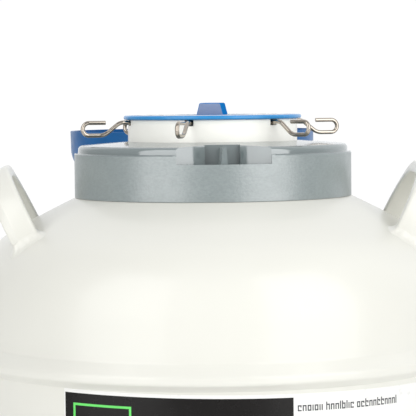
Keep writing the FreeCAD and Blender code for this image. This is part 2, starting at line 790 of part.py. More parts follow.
def make_hood():
    """Hood drawn closed over the collar, then swung back half a turn about its pin."""
    s = sizes
    body = new_body("hood")
    outside = [
        (s.hood_r, s.hood_rim_z, 0.6),
        (s.hood_top_r, s.hood_edge_z, s.hood_bend),
        (0, s.hood_crown_z),
    ]
    inside = [
        (0, s.hood_crown_z - s.hood_wall),
        (s.hood_top_r - s.hood_wall, s.hood_edge_z - s.hood_wall, s.hood_bend - s.hood_wall),
        (s.hood_r - s.hood_wall, s.hood_rim_z, 0.6),
    ]
    revolve(body, "hood_turn", outside + inside)
    tab_in_r = s.hood_r - s.hood_wall
    tab = [
        (-tab_in_r, s.tab_low_z),
        (-s.hood_r, s.tab_low_z),
        (-s.hood_r, s.hood_rim_z + 2),
        (-tab_in_r, s.hood_rim_z + 2),
    ]
    revolve(body, "front_tab", tab, plane="YZ_Plane", angle=s.tab_angle)
    tongue = polygon(
        (s.hood_r - 1.2, s.hinge_z - s.barrel_r),
        (s.hinge_y + s.barrel_r, s.hinge_z - s.barrel_r, s.barrel_r - 0.5),
        (s.hinge_y + s.barrel_r, s.hinge_z + s.barrel_r, s.barrel_r - 0.5),
        (s.hood_r - 1.2, s.hinge_z + s.barrel_r),
    )
    extrude(body, "hinge_tongue", tongue, s.tongue_half * 2, plane="YZ_Plane", way="both")
    eye = round_hole(s.hinge_y, s.hinge_z, s.pin_r + s.pin_slack)
    extrude(body, "tongue_eye", eye, s.tongue_half * 2 + 2, "Pocket", "YZ_Plane", way="both")
    turn = Rotation(Vector(0, 0, 1), s.collar_turn.value)
    hinge = Vector(0, s.hinge_y.value, s.hinge_z.value)
    swing = Placement(Vector(), Rotation(Vector(1, 0, 0), -180), hinge)
    body.Placement = Placement(Vector(), turn) * swing
    return keep(body)


# ---- lid ------------------------------------------------------------------------------------


def grip_screw_holes(body, name, radius, depth, lift, way):
    s = sizes
    for side, place in (("front", -s.grip_screw_y), ("back", s.grip_screw_y)):
        hole = round_hole(0, place, radius)
        extrude(body, f"{name}_{side}", hole, depth, "Pocket", lift=lift, way=way)


def make_lid():
    """Round lid, foam plug below it, bar grip on it, two screws and a plain label."""
    s = sizes
    disc = turned_body(
        "lid_disc",
        [
            (0, s.lid_low_z),
            (s.lid_r, s.lid_low_z, 1.8),
            (s.lid_r, s.lid_top_z, 2.2),
            (0, s.lid_top_z),
        ],
    )
    thickness = s.lid_top_z - s.lid_low_z
    grip_screw_holes(disc, "disc_hole", s.screw_r, thickness, s.lid_low_z, "up")
    turned_body(
        "lid_plug",
        [
            (0, s.plug_low_z),
            (s.plug_low_r, s.plug_low_z, 5),
            (s.plug_top_r, s.lid_low_z),
            (0, s.lid_low_z),
        ],
    )
    grip = new_body("lid_grip")
    bar = polygon(
        (-s.grip_half, s.lid_top_z),
        (s.grip_half, s.lid_top_z),
        (s.grip_top_half, s.grip_top_z, 1.4),
        (-s.grip_top_half, s.grip_top_z, 1.4),
    )
    extrude(grip, "grip_bar", bar, s.grip_length, plane="XZ_Plane", way="both")
    grip_screw_holes(grip, "grip_hole", s.screw_r, 7, s.lid_top_z, "up")
    keep(grip)
    make_grip_screws()
    badge = doc.addObject("Part::Cut", "lid_label")
    badge.Label = "lid_label"
    top = s.lid_top_z + s.badge_sheet
    badge.Base = cylinder("badge_sheet_round", s.badge_out_r, s.lid_top_z, top)
    badge.Tool = cylinder("badge_sheet_hole", s.badge_in_r, s.lid_top_z, top)
    keep(badge)
    for item in (disc, grip):
        turn_about_axis(item, s.grip_turn.value)


def make_grip_screws():
    """Two screws that hold the grip, from the lid's underside into the grip."""
    s = sizes
    turn = math.radians(s.grip_turn.value)
    screws = []
    for side, place in (("front", -s.grip_screw_y), ("back", s.grip_screw_y)):
        x = place * -math.sin(turn)
        y = place * math.cos(turn)
        low, high = s.lid_low_z, s.lid_top_z + 6
        screws.append(cylinder(f"grip_screw_{side}", s.screw_r, low, high, x, y))
    group = doc.addObject("Part::Compound", "grip_screws")
    group.Label = "grip_screws"
    group.Links = screws
    return keep(group)


# ---- canisters ------------------------------------------------------------------------------


def make_canister(number, angle):
    """A cup with drain holes, hanging beside the flask's axis."""
    s = sizes
    inner_r = s.canister_r - s.canister_wall
    body = turned_body(
        f"canister_{number}",
        [
            (0, s.canister_low_z),
            (s.canister_r, s.canister_low_z, 4),
            (s.canister_r, s.canister_top_z),
            (inner_r, s.canister_top_z),
            (inner_r, s.canister_low_z + s.canister_wall, 3),
            (0, s.canister_low_z + s.canister_wall),
        ],
    )
    floor = s.canister_wall + 2
    bottom = round_hole(s.drain_circle_r, 0, s.drain_hole_r)
    hole = extrude(body, "bottom_drain", bottom, floor, "Pocket", lift=s.canister_low_z)
    around(body, hole, BOTTOM_DRAINS)
    # only the side that points away from the flask's axis is drilled, so one hole is enough
    side = round_hole(0, s.canister_low_z + 22, s.drain_hole_r)
    extrude(body, "side_drain", side, s.canister_r + 2, "Pocket", "YZ_Plane")
    way_out = Vector(math.sin(math.radians(angle)), -math.cos(math.radians(angle)), 0)
    turn = Rotation(Vector(0, 0, 1), angle - 90)
    body.Placement = Placement(way_out * s.canister_place_r.value, turn)


def make_canister_handle(number, angle):
    """One wire: up inside the neck, out through a notch, down and back into an open hook."""
    s = sizes
    body = new_body(f"canister_handle_{number}")
    path = new_sketch(body, "wire_path")
    corners = [
        (s.wire_in_r, s.wire_low_z),
        (s.wire_in_r, s.wire_notch_z, s.wire_neck_bend),
        (s.ring_r, s.wire_notch_z, 4),
        (s.wire_crest_r, s.wire_crest_z, 7),
        (s.wire_foot_r, s.wire_foot_z, s.wire_bend),
        (s.wire_end_r, s.wire_foot_z, s.wire_hook_bend),
        (s.wire_end_r, s.wire_return_z, s.wire_hook_bend),
        (s.wire_tip_r, s.wire_return_z),
    ]
    draw(path, corners, closed=False)
    section = new_sketch(body, "wire_section", "XY_Plane", s.wire_low_z)
    draw_circle(section, s.wire_in_r, 0, s.wire_r)
    wire = body.newObject("PartDesign::AdditivePipe", "wire")
    wire.Profile = section
    wire.Spine = path
    turn_about_axis(body, angle - 90)
    keep(body)


def make_canisters():
    for number, angle in enumerate(CANISTER_ANGLES, 1):
        make_canister(number, angle)
        make_canister_handle(number, angle)


def make_canister_spacer():
    """Dished tray on the vessel's floor that the canisters settle into if they are let down."""
    s = sizes
    turned_body(
        "canister_spacer",
        [
            (20, s.spacer_low_z),
            (s.spacer_r, s.spacer_low_z),
            (s.spacer_r, s.spacer_low_z + 10),
            (s.spacer_r - 1.5, s.spacer_low_z + 10),
            (s.spacer_r - 1.5, s.spacer_low_z + 1.5),
            (20, s.spacer_low_z + 1.5),
        ],
    )


# ---- carrying handles -----------------------------------------------------------------------


def make_flask_envelope():
    """The flask's outside as one solid, which the handles' feet are cut back to."""
    s = sizes
    body = new_body("flask_envelope")
    low_z = s.bead_top_z + 6
    revolve(body, "envelope_turn", [(0, s.shoulder_top_z)] + shoulder_line()
            + [(s.flask_r, low_z), (0, low_z)])
    return body


def handle_section(body, name, lift, width, depth, bend, end=-1):
    """Section of the bar or of a foot, across the front leg (end -1) or the back leg (end 1)."""
    s = sizes
    sketch = new_sketch(body, name, "XY_Plane", lift)
    half_width, half_depth, leg = width * 0.5, depth * 0.5, s.handle_half * end
    draw(
        sketch,
        [
            (-half_width, leg - half_depth, bend),
            (half_width, leg - half_depth, bend),
            (half_width, leg + half_depth, bend),
            (-half_width, leg + half_depth, bend),
        ],
    )
    return sketch


def make_carry_handle(side, sign, envelope):
    """A bar bent to an inverted U, leaning outwards, with flared feet on the shoulder."""
    s = sizes
    body = new_body(f"handle_blank_{side}")
    root = Size(-20.0, "-20")
    path = new_sketch(body, "handle_path", "YZ_Plane")
    corners = [
        (-s.handle_half, root),
        (-s.handle_half, s.handle_rise, s.handle_bend),
        (s.handle_half, s.handle_rise, s.handle_bend),
        (s.handle_half, root),
    ]
    draw(path, corners, closed=False)
    bar = body.newObject("PartDesign::AdditivePipe", "handle_bar")
    bar.Profile = handle_section(body, "bar_section", root, s.handle_width, s.handle_depth, 3.2)
    bar.Spine = path
    wide, deep = s.handle_width + 10, s.handle_depth + 12
    # the shoulder is lower under the front leg, so its foot flares out lower down
    for name, end, low, high in (("front", -1, -17, 0), ("back", 1, -12, 4)):
        foot = body.newObject("PartDesign::AdditiveLoft", f"{name}_foot")
        foot.Profile = handle_section(body, f"{name}_foot_low", as_size(low), wide, deep, 9, end)
        foot.Sections = [
            handle_section(
                body, f"{name}_foot_top", as_size(high), s.handle_width, s.handle_depth, 3.2, end
            )
        ]
    body.Tip = foot
    lean = Rotation(Vector(0, 1, 0), sign * s.handle_lean.value)
    place = Vector(sign * s.handle_place_r.value, -s.handle_forward.value, s.handle_place_z.value)
    turn = Rotation(Vector(0, 0, 1), s.handle_turn.value)
    toe = Rotation(Vector(0, 0, 1), -sign * s.handle_toe.value)
    body.Placement = Placement(Vector(), turn) * Placement(place, toe * lean)
    handle = doc.addObject("Part::Cut", f"carry_handle_{side}")
    handle.Label = f"carry_handle_{side}"
    handle.Base = body
    handle.Tool = envelope
    return keep(handle)


# ---- drum label -----------------------------------------------------------------------------


def make_drum_label():
    s = sizes
    body = new_body("drum_label")
    section = [
        (-s.drum_r, s.label_low_z),
        (-s.drum_r - s.badge_sheet, s.label_low_z),
        (-s.drum_r - s.badge_sheet, s.label_top_z),
        (-s.drum_r, s.label_top_z),
    ]
    revolve(body, "label_sheet", section, plane="YZ_Plane", angle=s.label_angle)
    turn_about_axis(body, s.label_turn.value)
    return keep(body)


# ---- the whole dewar ------------------------------------------------------------------------


def check_document():
    """Stop before anything is written if any object or any sub-part's shape has failed."""
    for item in doc.Objects:
        if "Invalid" in item.State or "Error" in item.State:
            raise RuntimeError(f"{item.Name} failed: {item.State} {item.getStatusString()}")
    for item in nodes:
        shape = item.Shape
        if shape.isNull() or not shape.isValid() or not shape.Solids:
            raise RuntimeError(f"{item.Label} has no valid shape")


def main():
    make_outer_shell_upper()
    make_outer_shell_lower()
    make_foot_ring()
    make_inner_vessel()
    make_neck_tube()
    make_neck_flange()
    make_insulation()
    make_adsorbent_tray()
    make_evacuation_port()
    make_neck_ring()
    make_neck_ring_screws()
    make_collar()
    make_hinge_pin()
    make_hood()
    make_lid()
    make_canisters()
    make_canister_spacer()
    envelope = make_flask_envelope()
    make_carry_handle("left", -1, envelope)
    make_carry_handle("right", 1, envelope)
    make_drum_label()
    doc.recompute()
    check_document()
    os.makedirs("parts", exist_ok=True)
    for item in nodes:
        item.Shape.exportStep(f"parts/{item.Label}.step")
        print(item.Label, len(item.Shape.Solids), round(item.Shape.Volume / 1000, 2), "cm3")


main()
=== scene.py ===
"""Looks for the liquid nitrogen dewar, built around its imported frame.

Numbers for shapes are millimetres in the frame's own axes (+Z up, -Y front) and become metres
in mesh_piece(). Angles are degrees; a place "at angle a" is a degrees from the front towards +X.
"""

import math
import random

import bmesh
import bpy
from mathutils import Matrix, Vector, noise


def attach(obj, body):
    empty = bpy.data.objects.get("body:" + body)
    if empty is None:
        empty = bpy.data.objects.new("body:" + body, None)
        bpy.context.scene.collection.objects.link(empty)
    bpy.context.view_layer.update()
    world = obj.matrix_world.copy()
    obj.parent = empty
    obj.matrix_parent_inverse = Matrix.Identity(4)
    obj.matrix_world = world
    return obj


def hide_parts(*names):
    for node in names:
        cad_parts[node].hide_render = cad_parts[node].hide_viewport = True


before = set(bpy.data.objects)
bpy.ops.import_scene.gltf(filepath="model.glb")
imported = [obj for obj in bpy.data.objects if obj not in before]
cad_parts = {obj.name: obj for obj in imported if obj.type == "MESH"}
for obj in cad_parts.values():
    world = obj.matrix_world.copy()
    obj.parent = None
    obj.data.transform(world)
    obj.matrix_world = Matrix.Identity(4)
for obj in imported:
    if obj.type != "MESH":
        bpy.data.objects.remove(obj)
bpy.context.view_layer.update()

MM = 0.001
COLLAR_TURN = 4.7


# ---- shapes ---------------------------------------------------------------------------------


def rounded(corners, closed=True, step=9.0):
    """Corner points (x, y[, radius]) with each given radius turned into an arc of short edges."""
    points = []
    count = len(corners)
    for i, corner in enumerate(corners):
        here = Vector(corner[:2])
        radius = corner[2] if len(corner) > 2 else 0
        if not radius or (not closed and i in (0, count - 1)):
            points.append(here)
            continue
        before = (Vector(corners[i - 1][:2]) - here).normalized()
        after = (Vector(corners[(i + 1) % count][:2]) - here).normalized()
        half = before.angle(after) / 2
        reach = radius / math.tan(half)
        centre = here + (before + after).normalized() * radius / math.sin(half)
        start, end = here + before * reach - centre, here + after * reach - centre
        turn = start.angle_signed(end)
        parts = max(2, math.ceil(abs(math.degrees(turn)) / step))
        for k in range(parts + 1):
            spoke = start.copy()
            spoke.rotate(Matrix.Rotation(-turn * k / parts, 2))
            points.append(centre + spoke)
    return points


def mesh_piece(name, points, faces, smooth=30.0):
    """A piece from points in millimetres; edges sharper than the smooth angle stay sharp."""
    mesh = bpy.data.meshes.new(name)
    mesh.from_pydata([Vector(p) * MM for p in points], [], faces)
    bm = bmesh.new()
    bm.from_mesh(mesh)
    bmesh.ops.remove_doubles(bm, verts=bm.verts, dist=1e-7)
    bmesh.ops.recalc_face_normals(bm, faces=bm.faces)
    bm.to_mesh(mesh)
    bm.free()
    piece = bpy.data.objects.new(name, mesh)
    bpy.context.scene.collection.objects.link(piece)
    smooth_by_angle(piece, smooth)
    return piece


def smooth_by_angle(piece, angle=30.0):
    piece.data.shade_smooth()
    piece.data.set_sharp_from_angle(angle=math.radians(angle))


def turned(name, corners, steps=192, smooth=30.0, step=9.0):
    """A closed (radius, height) outline turned about the axis."""
    outline = rounded(corners, step=step)
    points, faces = [], []
    for i in range(steps):
        angle = 2 * math.pi * i / steps
        points += [(p.x * math.sin(angle), -p.x * math.cos(angle), p.y) for p in outline]
    n = len(outline)
    for i in range(steps):
        for j in range(n):
            a, b = i * n + j, i * n + (j + 1) % n
            c, d = (i + 1) % steps * n + (j + 1) % n, (i + 1) % steps * n + j
            on_axis = [outline[j].x < 1e-6, outline[(j + 1) % n].x < 1e-6]
            if all(on_axis):
                continue
            faces.append((a, b, d) if on_axis[1] else (a, b, c) if on_axis[0] else (a, b, c, d))
    return mesh_piece(name, points, faces, smooth)


def swept(name, path, section, smooth=40.0):
    """A section (a list of 2-D points) carried along the 3-D points of a path in the YZ plane."""
    path = [Vector(p) for p in path]
    count = len(path)
    points, faces = [], []
    tangents = [(path[min(i + 1, count - 1)] - path[max(i - 1, 0)]).normalized() for i in range(count)]
    side = tangents[0].cross(Vector((0, 1, 0))).normalized()
    for here, tangent in zip(path, tangents):
        side = (side - tangent * side.dot(tangent)).normalized()
        other = side.cross(tangent)
        points += [here + side * u + other * v for u, v in section]
    n = len(section)
    for i in range(count - 1):
        for j in range(n):
            m = (j + 1) % n
            faces.append((i * n + j, i * n + m, (i + 1) * n + m, (i + 1) * n + j))
    faces.append(tuple(range(n)))
    faces.append(tuple(range((count - 1) * n, count * n)))
    return mesh_piece(name, points, faces, smooth)


def circle(radius, count):
    return [(radius * math.cos(2 * math.pi * k / count), radius * math.sin(2 * math.pi * k / count))
            for k in range(count)]


def polar(radius, angle):
    """The place (x, y) at a radius and an angle from the front."""
    return radius * math.sin(math.radians(angle)), -radius * math.cos(math.radians(angle))


def disc_outline(x, y, radius):
    """A circle about a point, as an outline for prism() or across()."""
    return [(x + u, y + v) for u, v in circle(radius, 24)]


def prism(name, outline, low, high, smooth=30.0):
    """A flat outline in X and Y pulled up between two heights."""
    outline = [tuple(p) for p in outline]
    n = len(outline)
    points = [(x, y, low) for x, y in outline] + [(x, y, high) for x, y in outline]
    faces = [tuple(range(n)), tuple(range(n, 2 * n))]
    faces += [(k, (k + 1) % n, n + (k + 1) % n, n + k) for k in range(n)]
    return mesh_piece(name, points, faces, smooth)


def across(outline, left, right):
    """A prism along X whose outline is given in Y and Z."""
    made = prism("across", outline, left, right)
    made.data.transform(Matrix(((0, 0, 1, 0), (1, 0, 0, 0), (0, 1, 0, 0), (0, 0, 0, 1))))
    return made


def settle(piece):
    """Make a piece's modifiers part of its mesh."""
    graph = bpy.context.evaluated_depsgraph_get()
    mesh = bpy.data.meshes.new_from_object(piece.evaluated_get(graph))
    piece.modifiers.clear()
    old, piece.data = piece.data, mesh
    bpy.data.meshes.remove(old)
    return piece


def combine(piece, other, operation):
    """Boolean of two pieces; the other one is used up."""
    change = piece.modifiers.new("combine", "BOOLEAN")
    change.operation = operation
    change.solver = "EXACT"
    change.object = other
    settle(piece)
    bpy.data.objects.remove(other)
    return piece


def soften(piece, width, segments=2, angle=32.0, smooth=35.0):
    """Round off a piece's sharp edges by width millimetres."""
    bevel = piece.modifiers.new("soften", "BEVEL")
    bevel.width = width * MM
    bevel.segments = segments
    bevel.limit_method = "ANGLE"
    bevel.angle_limit = math.radians(angle)
    bevel.use_clamp_overlap = True
    bevel.miter_outer = "MITER_ARC"
    settle(piece)
    smooth_by_angle(piece, smooth)
    # large faces keep their own normals, so that flat walls reflect as flat walls
    weighted = piece.modifiers.new("flatten", "WEIGHTED_NORMAL")
    weighted.keep_sharp = True
    weighted.weight = 80
    return settle(piece)


def spin(piece, angle):
    """Turn a piece about the flask's axis, by degrees from the front towards +X."""
    piece.data.transform(Matrix.Rotation(math.radians(angle), 4, "Z"))
    return piece


# ---- materials ------------------------------------------------------------------------------


class Look:
    """A node material with helpers for procedural detail. Coordinates are the frame's, in metres."""

    def __init__(self, name, color, roughness=0.5, **plain):
        self.material = bpy.data.materials.new(name)
        self.material.use_nodes = True
        self.tree = self.material.node_tree
        self.shader = self.tree.nodes["Principled BSDF"]
        self.shader.inputs["Base Color"].default_value = (*color, 1)
        self.shader.inputs["Roughness"].default_value = roughness
        for socket, value in plain.items():
            self.shader.inputs[socket.replace("_", " ")].default_value = value
        self.place = self.tree.nodes.new("ShaderNodeTexCoord").outputs["Object"]
        self.height = None

    def node(self, kind, **inputs):
        made = self.tree.nodes.new(kind)
        for key, value in inputs.items():
            socket = made.inputs[key.replace("_", " ")]
            if isinstance(value, bpy.types.NodeSocket):
                self.tree.links.new(value, socket)
            else:
                socket.default_value = value
        return made

    def stretch(self, x=1.0, y=1.0, z=1.0):
        mapping = self.node("ShaderNodeMapping", Vector=self.place)
        mapping.inputs["Scale"].default_value = (x, y, z)
        return mapping.outputs["Vector"]

    def noise(self, size, detail=3.0, rough=0.55, place=None):
        """Noise whose blobs are about this many millimetres across."""
        made = self.node("ShaderNodeTexNoise", Scale=1 / (size * MM), Detail=detail,
                         Roughness=rough, Vector=place or self.place)
        return made.outputs["Fac"]

    def ramp(self, fac, low, high):
        """Colours from low to high over the middle of a factor's range."""
        made = self.node("ShaderNodeValToRGB", Fac=fac)
        for element, position, color in zip(made.color_ramp.elements, (0.35, 0.65), (low, high)):
            element.position = position
            element.color = (*color, 1)
        return made.outputs["Color"]

    def span(self, value, low, high):
        """Maps a factor's middle range to the range low..high."""
        made = self.node("ShaderNodeMapRange", Value=value, From_Min=0.3, From_Max=0.7,
                         To_Min=low, To_Max=high)
        return made.outputs["Result"]

    def color(self, socket):
        self.tree.links.new(socket, self.shader.inputs["Base Color"])

    def roughness(self, socket):
        self.tree.links.new(socket, self.shader.inputs["Roughness"])

    def bump(self, height, depth):
        """Adds a bump whose full height is depth millimetres; several stack up."""
        made = self.node("ShaderNodeBump", Height=height, Distance=depth * MM, Strength=1.0)
        if self.height:
            self.tree.links.new(self.height, made.inputs["Normal"])
        self.height = made.outputs["Normal"]
        self.tree.links.new(self.height, self.shader.inputs["Normal"])


def paint_look():
    """Smooth cream-white baked paint: even colour, a glossy skin and a very faint orange peel."""
    look = Look("cream_paint", (0.72, 0.715, 0.662), 0.36, Coat_Weight=0.22, Coat_Roughness=0.05)
    look.color(look.ramp(look.noise(120, 2), (0.715, 0.709, 0.65), (0.73, 0.724, 0.664)))
    look.roughness(look.span(look.noise(60, 3), 0.31, 0.38))
    look.bump(look.noise(5, 1), 0.004)
    look.bump(look.noise(60, 1), 0.06)
    return look.material


def plastic_look(name, color, roughness, grain=0.02, variation=0.06, orange_peel=0.0, **plain):
    """Moulded plastic: faint flow marks, a fine grain and slightly varied gloss."""
    look = Look(name, color, roughness, **plain)
    darker = tuple(c * (1 - variation) for c in color)
    lighter = tuple(min(1.0, c * (1 + variation)) for c in color)
    flow = look.noise(3.2 if orange_peel else 26, 4, place=look.stretch(1, 1, 2.2))
    look.color(look.ramp(flow, darker, lighter))
    look.roughness(look.span(look.noise(9, 4), roughness * 0.85, roughness * 1.18))
    if grain:
        look.bump(look.noise(0.55, 2), grain)
    if orange_peel:
        look.bump(look.noise(2.6, 2, 0.6), orange_peel)
    look.bump(look.noise(24, 1), 0.04)
    return look.material


def steel_look(name, color, roughness, brush=(1, 1, 1), depth=0.004):
    look = Look(name, color, roughness, Metallic=1.0)
    streaks = look.noise(1.2, 3, place=look.stretch(*brush))
    look.roughness(look.span(streaks, roughness * 0.75, roughness * 1.3))
    look.color(look.ramp(look.noise(14, 3), tuple(c * 0.93 for c in color), color))
    look.bump(streaks, depth)
    return look.material


PAINT = paint_look()
COLLAR_GLOSS = plastic_look("collar_gloss", (0.178, 0.213, 0.214), 0.10, grain=0.0, variation=0.02, IOR=2.1)
COLLAR_GRAIN = plastic_look("collar_grain", (0.214, 0.252, 0.252), 0.33, grain=0.0, variation=0.08,
                            orange_peel=0.17, IOR=2.1)
# the recess plastic: satin, and coloured lighter than the rest of the collar, which is painted light on the
# recess's cheeks and back walls
COLLAR_SATIN_PAINTED_LIGHT = plastic_look("collar_satin_painted_light", (0.272, 0.318, 0.318), 0.36, grain=0.0, variation=0.02, IOR=2.1)
RING_WHITE = plastic_look("ring_white", (0.95, 0.94, 0.875), 0.33, grain=0.0, variation=0.01)
HOOD_BLUE = plastic_look("hood_blue", (0.004, 0.10, 0.30), 0.33, grain=0.01, Specular_IOR_Level=0.3)
LID_BLUE = plastic_look("lid_blue", (0.03, 0.255, 0.58), 0.24, grain=0.0, variation=0.03)
GRIP_BLUE = plastic_look("grip_blue", (0.01, 0.18, 0.50), 0.9, grain=0.0, variation=0.03,
                         Specular_IOR_Level=0.0)
# the grip's end faces: the same blue plastic coloured greyer and lighter, a painted sheen
GRIP_END_PAINTED_SHEEN = plastic_look("grip_end_painted_sheen", (0.20, 0.26, 0.42), 0.55, grain=0.03)
WIRE_STEEL = steel_look("wire_steel", (0.47, 0.42, 0.36), 0.05, (1, 1, 1), 0.001)
SCREW_STEEL = steel_look("screw_steel", (0.60, 0.60, 0.59), 0.25)
SHEET_STEEL = steel_look("sheet_steel", (0.62, 0.62, 0.61), 0.30, (1, 1, 14))
BARE_ALUMINIUM = steel_look("bare_aluminium", (0.74, 0.75, 0.76), 0.34, (1, 1, 10))
RUBBER = plastic_look("rubber", (0.018, 0.018, 0.02), 0.62, grain=0.05)
DARK_PLASTIC = plastic_look("dark_plastic", (0.02, 0.02, 0.022), 0.5)
FOAM = plastic_look("plug_foam", (0.80, 0.80, 0.78), 0.8, grain=0.25)
GLASS_FIBRE = plastic_look("glass_fibre", (0.62, 0.52, 0.27), 0.4, grain=0.06)
FOIL = steel_look("wrap_foil", (0.80, 0.80, 0.80), 0.22, (1, 1, 3), 0.05)
LABEL_WHITE = plastic_look("label_white", (0.80, 0.796, 0.77), 0.30, grain=0.0, variation=0.005)
INK_BLACK = plastic_look("ink_black", (0.009, 0.008, 0.0075), 0.25, grain=0.0, IOR=1.3)
INK_GREEN = plastic_look("ink_green", (0.12, 0.68, 0.12), 0.3, grain=0.0)
INK_GREY = plastic_look("ink_grey", (0.045, 0.045, 0.05), 0.35, grain=0.0)
INK_PALE = plastic_look("ink_pale", (0.30, 0.31, 0.31), 0.35, grain=0.0)
INK_BLUE = plastic_look("ink_blue", (0.03, 0.12, 0.34), 0.35, grain=0.0)


# ---- pieces ---------------------------------------------------------------------------------

DRUM_R = 223
# shoulder, wall and rolled bead, from the neck outwards and down
CREAM_SHELL = [(70, 632.7), (155, 590.5, 250), (222.6, 554, 75), (222.6, 478, 4), (230.3, 467.4, 5),
               (230.3, 461.4, 4), (DRUM_R, 455)]
HINGE_Y, HINGE_Z = 131.6, 653.4
STEP_R, STEP_Z, LEDGE_Z, SKIRT_R, SKIRT_LOW = 123.6, 651.9, 645.2, 127.1, 604.5
RECESS_FLOOR, RECESS_X = 637.3, 9


def finish_piece(piece, body, slot, material, *nodes):
    """Dress a piece, ride it on its body and let it stand in for the CAD nodes named."""
    if material:
        piece.data.materials.clear()
        piece.data.materials.append(material)
    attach(piece, body)
    if nodes:
        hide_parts(*nodes)
    return piece


def build_shell():
    inside = [(DRUM_R, 457.8), (228.1, 463, 2), (228.1, 466.6, 3), (220.4, 476.8, 6),
              (220.4, 552.7, 72.8), (154, 588.5, 248), (70, 630.2)]
    upper = turned("shell_upper", CREAM_SHELL + inside, steps=288, step=5)
    finish_piece(upper, "flask", "shell_paint", PAINT, "outer_shell_upper")
    drum = turned("shell_drum", [(10, 10), (DRUM_R, 10, 20), (DRUM_R, 470), (220.8, 470),
                                 (220.8, 12.2, 17.8), (10, 12.2)], steps=288)
    finish_piece(drum, "flask", "shell_paint", PAINT, "outer_shell_lower")
    foot = turned("rubber_foot", [(176, 0, 2.5), (200, 0, 2.5), (200, 4), (198.6, 4.8), (198.6, 6.2),
                                  (200, 7), (200, 10), (176, 10)], steps=192)
    finish_piece(foot, "flask", "foot_rubber", RUBBER, "foot_ring")


def shell_height(radius):
    """Height of the shoulder's outer surface at a radius."""
    line = rounded(CREAM_SHELL, closed=False, step=3)
    for a, b in zip(line, line[1:]):
        if a.x <= radius <= b.x and b.x > a.x:
            return a.y + (b.y - a.y) * (radius - a.x) / (b.x - a.x)
    return line[-1].y


# ---- collar ---------------------------------------------------------------------------------


def recess_outline(grow):
    """The lock recess from above: two slanted cheeks and a deeper middle, widened by grow."""
    outer, inner, cheek, back = 41.3 + grow, 15.5 + grow, grow - 103, grow - 98
    return [(-outer, -133), (outer, -133), (outer, -116), (inner, cheek), (inner, back),
            (-inner, back), (-inner, cheek), (-outer, -116)]


def build_collar():
    outside = [(78, 655.3), (STEP_R, STEP_Z, 4), (STEP_R, LEDGE_Z, 0.6), (SKIRT_R, LEDGE_Z, 1.2),
               (SKIRT_R, SKIRT_LOW, 0.6)]
    inside = [(124.1, 606.06), (124.1, 642.2), (120.6, 642.2), (120.6, 648.9), (93, 651.2),
              (93, 649), (74, 649), (74, 652), (78, 652)]
    collar = turned("collar_shell", outside + inside, steps=300, step=12)
    box = prism("recess_box", recess_outline(3), RECESS_FLOOR - 3, 652)
    limit = turned("limit", [(0, 620), (SKIRT_R, 620), (SKIRT_R, LEDGE_Z), (STEP_R - 0.2, LEDGE_Z),
                             (STEP_R - 0.2, STEP_Z - 4), (STEP_R - 4.5, STEP_Z - 0.5),
                             (0, STEP_Z - 0.5)], steps=300)
    combine(box, limit, "INTERSECT")
    combine(collar, box, "UNION")
    combine(collar, prism("recess", recess_outline(0), RECESS_FLOOR, 670), "DIFFERENCE")
    rib = mesh_piece("rib", [(x * w, y, z) for x in (-1, 1) for w, z in ((2.9, 636), (1.8, 651.8))
                             for y in (-123, -97)],
                     [(0, 1, 3, 2), (4, 6, 7, 5), (0, 2, 6, 4), (1, 5, 7, 3), (0, 4, 5, 1), (2, 3, 7, 6)])
    combine(collar, rib, "UNION")
    hole = disc_outline(-116.6, 644.5, 3.2)
    # unlike the CAD collar's through hole, the lock hole keeps a thin web here, only so that no
    # spot of light falls through it onto the recess's cheek
    for left, right in ((-4, -0.4), (0.4, 4)):
        combine(collar, across(hole, left, right), "DIFFERENCE")
    flat = [(118, LEDGE_Z + 1.2), (132, LEDGE_Z + 1.2), (132, LEDGE_Z + 14), (118, LEDGE_Z + 14)]
    combine(collar, across(flat, -50, 50), "DIFFERENCE")
    lug = rounded([(124.2, 619.2), (126.1, 619.2), (135.7, 633.2), (135.7, 657.5, 3.6),
                   (127.5, 657.5, 3.6), (127.9, 643.7), (124.2, 643.7)])
    for left, right in ((-24, -13.6), (13.6, 24)):
        combine(collar, across(lug, left, right), "UNION")
    combine(collar, across(disc_outline(HINGE_Y, HINGE_Z, 2), -26, 26), "DIFFERENCE")
    soften(collar, 0.45, 2, 40, 32)
    spin(collar, COLLAR_TURN)
    # the skirt below the ledge is grained and everything else polished; the recess is satin, and its
    # lighter colour is painted light on its cheeks and back walls
    finish_piece(collar, "flask", "collar_plastic", COLLAR_GLOSS, "collar")
    collar.data.materials.append(COLLAR_GRAIN)
    collar.data.materials.append(COLLAR_SATIN_PAINTED_LIGHT)
    for face in collar.data.polygons:
        x, y, z = face.center / MM
        on_skirt = z < LEDGE_Z - 1 and math.hypot(x, y) > SKIRT_R - 0.25
        in_recess = z < LEDGE_Z + 2.4 and abs(x - RECESS_X) < 36 and -119 < y < -96
        face.material_index = 1 if on_skirt else 2 if in_recess else 0
    pin = turned("hinge_rod", [(0, -24.5), (2, -24.5, 0.5), (2, 24.5, 0.5), (0, 24.5)], steps=32)
    pin.data.transform(Matrix.Translation((0, HINGE_Y * MM, HINGE_Z * MM))
                       @ Matrix.Rotation(math.radians(90), 4, "Y"))
    spin(pin, COLLAR_TURN)
    finish_piece(pin, "flask", "fasteners", SCREW_STEEL, "hinge_pin")


# ---- neck ring ------------------------------------------------------------------------------

RING_TURN = -75.4
RING_R, RING_TOP, NOTCH_FLOOR = 77.7, 675.3, 669.8
SCREW_CIRCLE, SCREW_SEAT = 70, 670.9
SCREW_ANGLES = [RING_TURN + 30 + 60 * k for k in range(6)]


